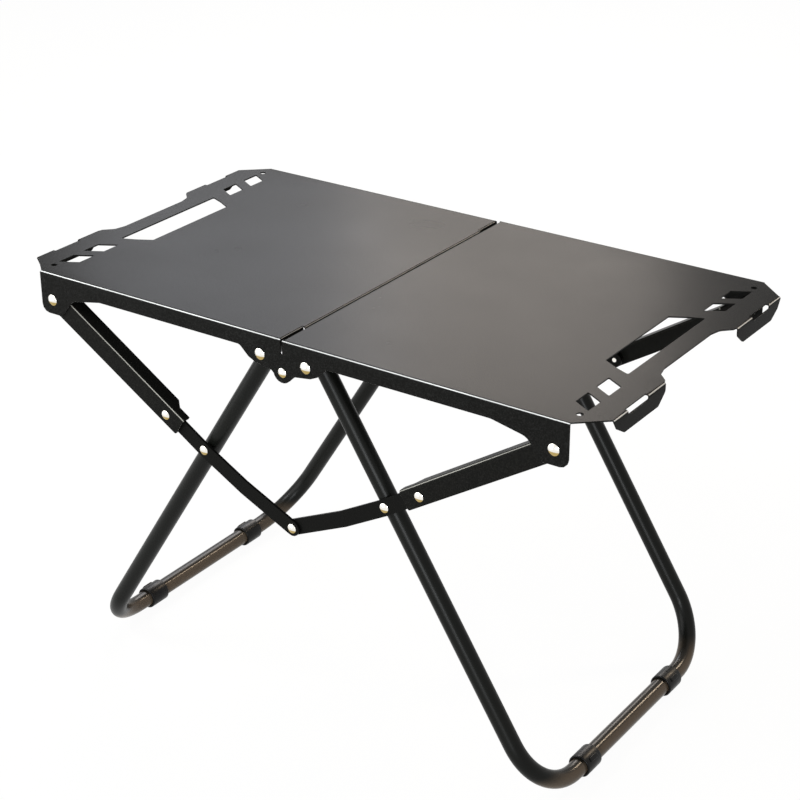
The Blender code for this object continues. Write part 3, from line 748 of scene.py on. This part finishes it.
@dataclass
class LegTube:
    """A U-shaped leg, bent from one length of round tube."""

    side: Side
    finish: Material
    tube_radius: float = 9.5 * MM
    overrun: float = 12.0 * MM
    bend_radius: float = 65.0 * MM
    bend_steps: int = 20
    round_steps: int = 40
    tree: ShapeTree = field(init=False)
    hinge: Vector = field(init=False)
    foot: Vector = field(init=False)
    spread: float = field(init=False)

    def __post_init__(self) -> None:
        """Work out the leg's line from the frame."""
        low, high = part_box(f"leg_{self.side.value}")
        hinge = centre_of(f"leg_rivet_{self.side.value}_front")
        reach = max(abs(low.x), abs(high.x)) - self.tube_radius
        self.hinge = Vector((hinge.x, 0.0, hinge.z))
        self.foot = Vector((self.side.sign * reach, 0.0, low.z + self.tube_radius))
        self.spread = high.y - self.tube_radius
        self.tree = self.plan()

    @property
    def down(self) -> Vector:
        """Direction of the side tubes, from the hinge to the ground."""
        return (self.foot - self.hinge).normalized()

    def plan(self) -> ShapeTree:
        """Tree that rounds the corners of a line and sweeps the tube along it.

        Returns:
            The tree.
        """
        plan = ShapeTree(f"bent_tube_{self.side.value}", "Tube Radius", "Bend Radius")
        line = plan.add("GeometryNodeMeshToCurve", (plan.inputs["Seats"],))
        bent = plan.add(FILLET, {"Curve": line, "Count": self.bend_steps,
                                 "Radius": plan.inputs["Bend Radius"]}, mode="POLY")
        ring = plan.add("GeometryNodeCurvePrimitiveCircle",
                        {"Resolution": self.round_steps, "Radius": plan.inputs["Tube Radius"]})
        plan.close(plan.add(SWEEP, {"Curve": bent, "Profile Curve": ring, "Fill Caps": True}))
        return plan

    def build(self) -> None:
        """Sweep the tube and put it on the leg."""
        top = self.hinge - self.down * self.overrun
        corners = ((top, End.FRONT), (self.foot, End.FRONT), (self.foot, End.BACK),
                   (top, End.BACK))
        points = [corner + Vector((0.0, end.sign * self.spread, 0.0)) for corner, end in corners]
        line = bpy.data.meshes.new("leg_line")
        line.from_pydata(points, [(0, 1), (1, 2), (2, 3)], [])
        sizes = {"Tube Radius": self.tube_radius, "Bend Radius": self.bend_radius}
        tube = self.tree.grow(f"leg_tube_{self.side.value}", line, sizes, self.finish)
        settle(tube, f"leg_{self.side.value}", [f"leg_{self.side.value}"])


@dataclass(frozen=True)
class Seat:
    """Place of one headed fastener or plug, and the radius and length of each of its parts."""

    spot: Vector
    axis: Vector
    head: tuple[float, float]
    shank: tuple[float, float]
    tail: tuple[float, float] = (0.0, 0.0)


@dataclass
class Fasteners:
    """Rivets and push-in plugs: a domed head, a shank and, on a rivet, a formed tail."""

    rivet_finish: Material
    plug_finish: Material
    legs: dict[Side, LegTube]
    gap: float = 0.3 * MM
    shank_radius: float = 2.5 * MM
    tail_radius: float = 4.0 * MM
    tail_height: float = 1.0 * MM
    high_head: float = 2.2 * MM
    low_head: float = 1.5 * MM
    rim: float = 0.12
    crown_power: float = 2.0
    dome_base: float = -0.001
    head_steps: tuple[int, int] = (32, 16)
    shank_steps: int = 24
    plug_flange: float = 2.0 * MM
    plug_stem: tuple[float, float] = (8.0 * MM, 8.0 * MM)
    tree: ShapeTree = field(init=False)

    def __post_init__(self) -> None:
        """Make the tree."""
        self.tree = self.plan()

    def dome(self, plan: ShapeTree) -> Node:
        """Unit head: a ball whose upper half is lowered to a crown on a thin rim.

        Args:
            plan: tree that takes the nodes.

        Returns:
            Node that puts out the head.
        """
        ball = plan.add("GeometryNodeMeshUVSphere", (*self.head_steps, 1.0))
        where = plan.add(SPLIT, (plan.add("GeometryNodeInputPosition"),)).outputs
        above = plan.add("FunctionNodeCompare", (where[2], self.dome_base),
                         operation="GREATER_THAN")
        share = plan.add(MATH, (1.0, plan.inputs["Rim"]), operation="SUBTRACT")
        lowered = plan.add(MATH, (where[2], self.crown_power), operation="POWER")
        crown = plan.add(MATH, (lowered, share, plan.inputs["Rim"]), operation="MULTIPLY_ADD")
        height = plan.add("GeometryNodeSwitch", {0: above, 2: crown}, input_type="FLOAT")
        spot = plan.add(MERGE, (where[0], where[1], height))
        return plan.add(MOVE, {"Geometry": ball, "Position": spot})

    def plan(self) -> ShapeTree:
        """Tree that seats a unit head, shank and tail on each point, scaled by its attributes.

        Returns:
            The tree.
        """
        plan = ShapeTree("headed_fasteners", "Rim")
        seats, dome = plan.inputs["Seats"], self.dome(plan)
        turn, head, shank, tail = (plan.add(ATTRIBUTE, {"Name": name}, data_type="FLOAT_VECTOR")
                                   for name in ("turn", "head", "shank", "tail"))
        rotation = plan.add("FunctionNodeEulerToRotation", (turn,))
        rod = plan.add("GeometryNodeMeshCylinder",
                       {"Vertices": self.shank_steps, "Radius": 1.0, "Depth": 1.0})
        hung = plan.add(TRANSFORM, {"Geometry": rod, "Translation": (0.0, 0.0, -0.5)})
        foot = plan.add(TRANSFORM, {"Geometry": dome, "Rotation": (math.pi, 0.0, 0.0)})
        length, formed = (plan.add(SPLIT, (sizes,)) for sizes in (shank, tail))
        depth = plan.add(MATH, (length.outputs[2], -1.0), operation="MULTIPLY")
        drop = plan.add(MERGE, {2: depth})
        inward = plan.add("FunctionNodeRotateVector", {"Vector": drop, "Rotation": rotation})
        ends = plan.add(MOVE, {"Geometry": seats, "Offset": inward})
        has_tail = plan.add("FunctionNodeCompare", (formed, 0.0), operation="GREATER_THAN")
        plan.close(plan.join([
            plan.add(SEATED, {"Points": points, "Selection": chosen, "Instance": part,
                              "Rotation": rotation, "Scale": scale})
            for points, chosen, part, scale in ((ends, has_tail, foot, tail),
                                                (seats, True, hung, shank),
                                                (seats, True, dome, head))]))
        return plan

    def rivet_seat(self, node: str, end: End, high: bool, has_tail: bool) -> Seat:
        """Seat of a rivet, read from its CAD node.

        Args:
            node: CAD node of the rivet.
            end: long side that its head faces.
            high: whether its head is the high one.
            has_tail: whether its far end is formed.

        Returns:
            The seat, under the head.
        """
        low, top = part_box(node)
        head_height = self.high_head if high else self.low_head
        tail = (self.tail_radius, self.tail_height) if has_tail else (0.0, 0.0)
        outer = top.y if end is End.BACK else low.y
        spot = centre_of(node)
        spot.y = outer - end.sign * head_height
        return Seat(spot, Vector((0.0, end.sign, 0.0)), ((top.x - low.x) / 2, head_height),
                    (self.shank_radius, top.y - low.y - head_height - tail[1]), tail)

    def tail_seat(self, node: str, end: End) -> Seat:
        """Seat of a separate formed tail, whose head faces inwards from a long side.

        Args:
            node: CAD node of the tail.
            end: long side that it belongs to.

        Returns:
            The seat, under the head.
        """
        low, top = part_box(node)
        inner = low.y if end is End.BACK else top.y
        spot = centre_of(node)
        spot.y = inner + end.sign * self.tail_height
        return Seat(spot, Vector((0.0, -end.sign, 0.0)), (self.tail_radius, self.tail_height),
                    (self.shank_radius, top.y - low.y - self.tail_height))

    def plug_seat(self, side: Side, end: End) -> Seat:
        """Seat of a tube plug, on the upper end of a side tube.

        Args:
            side: half of the table.
            end: long side of the tube.

        Returns:
            The seat, under the plug's flange.
        """
        leg = self.legs[side]
        spot = leg.hinge - leg.down * (leg.overrun + self.gap)
        spot.y = end.sign * leg.spread
        return Seat(spot, -leg.down, (leg.tube_radius, self.plug_flange), self.plug_stem)

    def seat_mesh(self, seats: list[Seat]) -> Mesh:
        """Points with the attributes that the tree reads.

        Args:
            seats: seats of one piece.

        Returns:
            Mesh of loose points.
        """
        mesh = bpy.data.meshes.new("seats")
        mesh.from_pydata([seat.spot for seat in seats], [], [])
        columns = {"turn": [tuple(seat.axis.to_track_quat("Z", "Y").to_euler())
                            for seat in seats]}
        for part in ("head", "shank", "tail"):
            columns[part] = [(radius, radius, length)
                             for radius, length in (getattr(seat, part) for seat in seats)]
        for name, rows in columns.items():
            attribute = mesh.attributes.new(name, "FLOAT_VECTOR", "POINT")
            for item, row in zip(attribute.data, rows):
                item.vector = row
        return mesh

    def place(self, name: str, body: str, slot: str, seats: dict[str, Seat]) -> None:
        """Grow one piece from its seats and put it on its body.

        Args:
            name: name of the piece.
            body: CAD body that carries it.
            slot: material slot in the record.
            seats: seat by the CAD node that it stands for.
        """
        finish = self.plug_finish if slot == "black_nylon" else self.rivet_finish
        mesh = self.seat_mesh(list(seats.values()))
        settle(self.tree.grow(name, mesh, {"Rim": self.rim}, finish), body, list(seats))

    def build(self) -> None:
        """Seat every rivet, tail and plug."""
        for side in Side:
            tag = side.value
            panel, leg, brace, link, plugs = {}, {}, {}, {}, {}
            for end in End:
                way = end.value
                rows = [(panel, f"brace_rivet_{tag}_{way}", True, True),
                        (leg, f"leg_rivet_{tag}_{way}", True, True),
                        (brace, f"link_rivet_{tag}_{way}", False, side is Side.LEFT),
                        (link, f"crossing_rivet_{tag}_{way}", False, False)]
                tails = [(leg, f"crossing_tail_{tag}_{way}")]
                if side is Side.LEFT:
                    rows += [(panel, f"centre_rivet_{way}", True, True),
                             (link, f"link_joint_rivet_{way}", False, False)]
                else:
                    tails += [(link, f"link_joint_tail_{way}")]
                for seats, node, high, has_tail in rows:
                    seats[node] = self.rivet_seat(node, end, high, has_tail)
                for seats, node in tails:
                    seats[node] = self.tail_seat(node, end)
                plugs[f"tube_plug_{tag}_{way}"] = self.plug_seat(side, end)
            for part, seats in (("panel", panel), ("leg", leg), ("brace", brace), ("link", link)):
                self.place(f"rivets_{part}_{tag}", f"{part}_{tag}", "rivet_steel", seats)
            self.place(f"tube_plugs_{tag}", f"leg_{tag}", "black_nylon", plugs)


@dataclass
class Washers:
    """Nylon washers and spacers: flat rings with broken edges."""

    finish: Material
    bore_radius: float = 2.8 * MM
    edge_round: float = 0.3 * MM
    edge_steps: int = 3
    ring_steps: int = 36
    tree: ShapeTree = field(init=False)

    def __post_init__(self) -> None:
        """Make the tree."""
        self.tree = self.plan()

    def plan(self) -> ShapeTree:
        """Tree that puts a ring on each point, about the Y axis.

        Returns:
            The tree.
        """
        plan = ShapeTree("flat_rings", "Bore", "Outside", "Height", "Edge Round")
        ring = plan.hoop("GeometryNodeCurvePrimitiveCircle", {"Resolution": self.ring_steps},
                         self.edge_steps)
        turned = plan.add(TRANSFORM, {"Geometry": ring, "Rotation": (math.pi / 2, 0.0, 0.0)})
        plan.close(plan.add(SEATED, {"Points": plan.inputs["Seats"], "Instance": turned}))
        return plan

    def place(self, kind: str, side: Side, body: str) -> None:
        """Grow the two rings of a kind on one half, front and back.

        Args:
            kind: first part of the CAD nodes' names.
            side: half of the table.
            body: CAD body that carries them.
        """
        nodes = [f"{kind}_{side.value}_{end.value}" for end in End]
        low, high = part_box(nodes[0])
        seats = bpy.data.meshes.new("seats")
        seats.from_pydata([centre_of(node) for node in nodes], [], [])
        sizes = {"Bore": self.bore_radius, "Outside": (high.x - low.x) / 2,
                 "Height": high.y - low.y, "Edge Round": self.edge_round}
        piece = self.tree.grow(f"{kind}s_{side.value}", seats, sizes, self.finish)
        settle(piece, body, nodes)

    def build(self) -> None:
        """Make every washer and the crossing spacers."""
        for side in Side:
            self.place("link_washer", side, f"brace_{side.value}")
        self.place("crossing_spacer", Side.LEFT, "link_left")
        self.place("brace_washer", Side.RIGHT, "brace_right")


@dataclass
class FootClips:
    """Snap-on nylon feet: a split sleeve with rounded ends and a small raised rib."""

    finish: Material
    legs: dict[Side, LegTube]
    gap: float = 0.3 * MM
    outer_radius: float = 12.3 * MM
    length: float = 26.0 * MM
    end_round: float = 1.1 * MM
    end_steps: int = 4
    round_steps: int = 73
    split_degrees: float = 295.0
    slit: float = 1.2 * MM
    rib_degrees: float = 40.0
    rib_length: float = 14.0 * MM
    rib_width: float = 5.0 * MM
    rib_height: float = 1.0 * MM
    rib_steps: tuple[int, int] = (24, 12)
    rib_boxiness: float = 0.35
    tree: ShapeTree = field(init=False)

    def __post_init__(self) -> None:
        """Make the tree."""
        self.tree = self.plan()

    def rib(self, plan: ShapeTree) -> Node:
        """Rounded block on the sleeve: a ball drawn out towards a box.

        Args:
            plan: tree that takes the nodes.

        Returns:
            Node that puts out the rib.
        """
        ball = plan.add("GeometryNodeMeshUVSphere", (*self.rib_steps, 1.0))
        drawn = []
        for place in plan.add(SPLIT, (plan.add("GeometryNodeInputPosition"),)).outputs:
            size = plan.add(MATH, (place,), operation="ABSOLUTE")
            bulge = plan.add(MATH, (size, self.rib_boxiness), operation="POWER")
            way = plan.add(MATH, (place,), operation="SIGN")
            drawn.append(plan.add(MATH, (bulge, way), operation="MULTIPLY"))
        block = plan.add(MOVE, {"Geometry": ball, "Position": plan.add(MERGE, tuple(drawn))})
        sizes = tuple(plan.add(MATH, (plan.inputs[name], share), operation="MULTIPLY")
                      for name, share in (("Rib Height", 1.0), ("Rib Width", 0.5),
                                          ("Rib Length", 0.5)))
        out = plan.add(MERGE, (plan.inputs["Outside"],))
        seated = plan.add(TRANSFORM, {"Geometry": block, "Translation": out,
                                      "Scale": plan.add(MERGE, sizes)})
        tilt = plan.add(MERGE, {2: plan.inputs["Rib Angle"]})
        return plan.add(TRANSFORM, {"Geometry": seated, "Rotation": tilt})

    def plan(self) -> ShapeTree:
        """Tree that bends the sleeve's wall round the bar, adds the rib, and seats both.

        Returns:
            The tree.
        """
        plan = ShapeTree("split_sleeves", "Bore", "Outside", "Height", "Edge Round", "Start",
                         "Sweep", "Rib Angle", "Rib Length", "Rib Width", "Rib Height")
        sleeve = plan.hoop("GeometryNodeCurveArc",
                           {"Resolution": self.round_steps, "Start Angle": plan.inputs["Start"],
                            "Sweep Angle": plan.inputs["Sweep"]}, self.end_steps)
        clip = plan.join([self.rib(plan), sleeve])
        turn = plan.add(ATTRIBUTE, {"Name": "turn"}, data_type="FLOAT_VECTOR")
        rotation = plan.add("FunctionNodeEulerToRotation", (turn,))
        plan.close(plan.add(SEATED, {"Points": plan.inputs["Seats"], "Instance": clip,
                                     "Rotation": rotation}))
        return plan

    def build(self) -> None:
        """Snap the feet on each ground bar."""
        slit_angle = self.slit / self.outer_radius
        sizes = {"Bore": self.legs[Side.LEFT].tube_radius + self.gap,
                 "Outside": self.outer_radius, "Height": self.length,
                 "Edge Round": self.end_round,
                 "Start": math.radians(self.split_degrees) - math.tau + slit_angle / 2,
                 "Sweep": math.tau - slit_angle, "Rib Angle": math.radians(self.rib_degrees),
                 "Rib Length": self.rib_length, "Rib Width": self.rib_width,
                 "Rib Height": self.rib_height}
        for side, leg in self.legs.items():
            nodes = [f"foot_clip_{side.value}_{end.value}" for end in End]
            seats = bpy.data.meshes.new("seats")
            seats.from_pydata([Vector((leg.foot.x, centre_of(node).y, leg.foot.z))
                               for node in nodes], [], [])
            across, up = Vector((side.sign, 0.0, 0.0)), Vector((0.0, 0.0, 1.0))
            turn = Matrix((across, up, across.cross(up))).transposed().to_euler()
            attribute = seats.attributes.new("turn", "FLOAT_VECTOR", "POINT")
            for item in attribute.data:
                item.vector = turn
            piece = self.tree.grow(f"foot_clips_{side.value}", seats, sizes, self.finish)
            settle(piece, f"leg_{side.value}", nodes)


def direction(azimuth: float, elevation: float) -> Vector:
    """Direction from the table, turned from straight in front and raised from level.

    Args:
        azimuth: turn to the right in degrees.
        elevation: rise in degrees.

    Returns:
        Vector of length 1.
    """
    turn, rise = math.radians(azimuth), math.radians(elevation)
    return Vector((math.sin(turn) * math.cos(rise), -math.cos(turn) * math.cos(rise),
                   math.sin(rise)))


@dataclass(frozen=True)
class SoftBox:
    """A soft studio light, placed by its direction from the table and facing it."""

    name: str
    azimuth: float
    elevation: float
    distance: float
    size: tuple[float, float]
    watts: float
    colour: str
    target: tuple[float, float, float] = (0.0, 0.0, 0.3)

    def build(self) -> None:
        """Add the light."""
        light = bpy.data.lights.new(self.name, "AREA")
        light.shape = "RECTANGLE"
        light.size, light.size_y = self.size
        light.energy = self.watts
        light.color = srgb(self.colour)[:3]
        lamp = bpy.data.objects.new(self.name, light)
        away = direction(self.azimuth, self.elevation)
        lamp.location = Vector(self.target) + away * self.distance
        lamp.rotation_euler = away.to_track_quat("Z", "Y").to_euler()
        bpy.context.scene.collection.objects.link(lamp)


@dataclass(frozen=True)
class Studio:
    """Pale floor, white surroundings and soft lights."""

    floor_colour: str = "#e9e8e4"
    floor_size: float = 30.0
    floor_white: float = 0.96
    room_colour: str = "#f4f6f8"
    room_level: float = 0.35
    seen_colour: str = "#ffffff"
    lights: tuple[SoftBox, ...] = (
        SoftBox("front_left_softbox", -40.0, 13.0, 1.75, (1.6, 1.45), 20.0, "#fdfdfd"),
        SoftBox("front_low_softbox", 22.0, 4.5, 3.0, (1.2, 0.55), 44.0, "#f4f8fb"),
        SoftBox("fold_strip", -48.0, 42.0, 2.6, (1.0, 0.10), 34.0, "#fbfdff"),
        SoftBox("back_left_softbox", 223.5, 33.0, 3.0, (0.78, 1.4), 21.0, "#f2f4fb"),
        SoftBox("back_right_softbox", 208.8, 33.0, 3.0, (0.80, 1.4), 34.0, "#fff5ec"),
        SoftBox("ground_bar_light", 160.0, 37.0, 3.0, (0.3, 0.6), 42.0, "#ffe6c6"),
    )

    def seen_white(self, nodes: Nodes) -> Node:
        """Mask of the rays that show the background: from the camera, or by gloss or glass.

        Args:
            nodes: tree that takes the nodes.

        Returns:
            Node that puts out the mask.
        """
        rays = nodes.add("ShaderNodeLightPath").outputs
        mask = rays["Is Camera Ray"]
        for name in ("Is Glossy Ray", "Is Transmission Ray"):
            mask = nodes.add(MATH, (mask, rays[name]), operation="MAXIMUM")
        return mask

    def floor(self) -> None:
        """Add the floor, which keeps the table's shadow."""
        mesh = bpy.data.meshes.new("studio_floor")
        sheet = bmesh.new()
        bmesh.ops.create_grid(sheet, x_segments=1, y_segments=1, size=self.floor_size / 2)
        sheet.to_mesh(mesh)
        sheet.free()
        material = bpy.data.materials.new("pale_floor")
        material.use_nodes = True
        nodes = Nodes(material.node_tree)
        share = nodes.add(MATH, (self.seen_white(nodes), self.floor_white), operation="MULTIPLY")
        matt = nodes.add("ShaderNodeBsdfDiffuse", {"Color": srgb(self.floor_colour)})
        white = nodes.add("ShaderNodeEmission",
                          {"Color": srgb(self.seen_colour), "Strength": 1.0})
        blend = nodes.add("ShaderNodeMixShader", (share, matt, white))
        nodes.add("ShaderNodeOutputMaterial", (blend,))
        mesh.materials.append(material)
        floor = bpy.data.objects.new("studio_floor", mesh)
        floor.location.z = CAD_BOX[0].z
        bpy.context.scene.collection.objects.link(floor)

    def world(self) -> None:
        """Add the surroundings: white where they are seen, a plain soft level as light."""
        world = bpy.data.worlds.new("studio_room")
        world.use_nodes = True
        nodes = Nodes(world.node_tree)
        room, white = (nodes.add("ShaderNodeBackground", {"Color": srgb(colour), "Strength": level})
                       for colour, level in ((self.room_colour, self.room_level),
                                             (self.seen_colour, 1.0)))
        blend = nodes.add("ShaderNodeMixShader", (self.seen_white(nodes), room, white))
        nodes.add("ShaderNodeOutputWorld", (blend,))
        bpy.context.scene.world = world

    def build(self) -> None:
        """Set the stage."""
        self.floor()
        self.world()
        for light in self.lights:
            light.build()
        bpy.context.scene.view_settings.view_transform = "Standard"


@dataclass(frozen=True)
class PhotoCamera:
    """Camera at the photograph's place, found from the table's own corners and rivets."""

    azimuth: float = 34.755
    elevation: float = 25.628
    roll: float = -0.237
    lens_mm: float = 89.0
    sensor_mm: float = 36.0
    place: tuple[float, float, float] = (1.0846, -1.5616, 1.220)

    def build(self) -> None:
        """Add the camera and make it the scene's own."""
        turn, lean = math.radians(self.azimuth), math.radians(self.roll)
        back = direction(self.azimuth, self.elevation)
        level = Vector((math.cos(turn), math.sin(turn), 0.0))
        right = level * math.cos(lean) + back.cross(level) * math.sin(lean)
        camera = bpy.data.cameras.new("photo_camera")
        camera.lens = self.lens_mm
        camera.sensor_width = self.sensor_mm
        holder = bpy.data.objects.new("photo_camera", camera)
        matrix = Matrix((right, back.cross(right), back)).transposed().to_4x4()
        matrix.translation = Vector(self.place)
        holder.matrix_world = matrix
        bpy.context.scene.collection.objects.link(holder)
        bpy.context.scene.camera = holder


def main() -> None:
    """Dress the table and set the stage."""
    PhotoCamera().build()
    Studio().build()
    finishes = make_finishes()
    SheetMetal(finishes).build()
    legs = {side: LegTube(side, finishes.tube) for side in Side}
    for leg in legs.values():
        leg.build()
    Fasteners(finishes.rivet, finishes.nylon, legs).build()
    Washers(finishes.nylon).build()
    FootClips(finishes.nylon, legs).build()


if __name__ == "__main__":
    main()
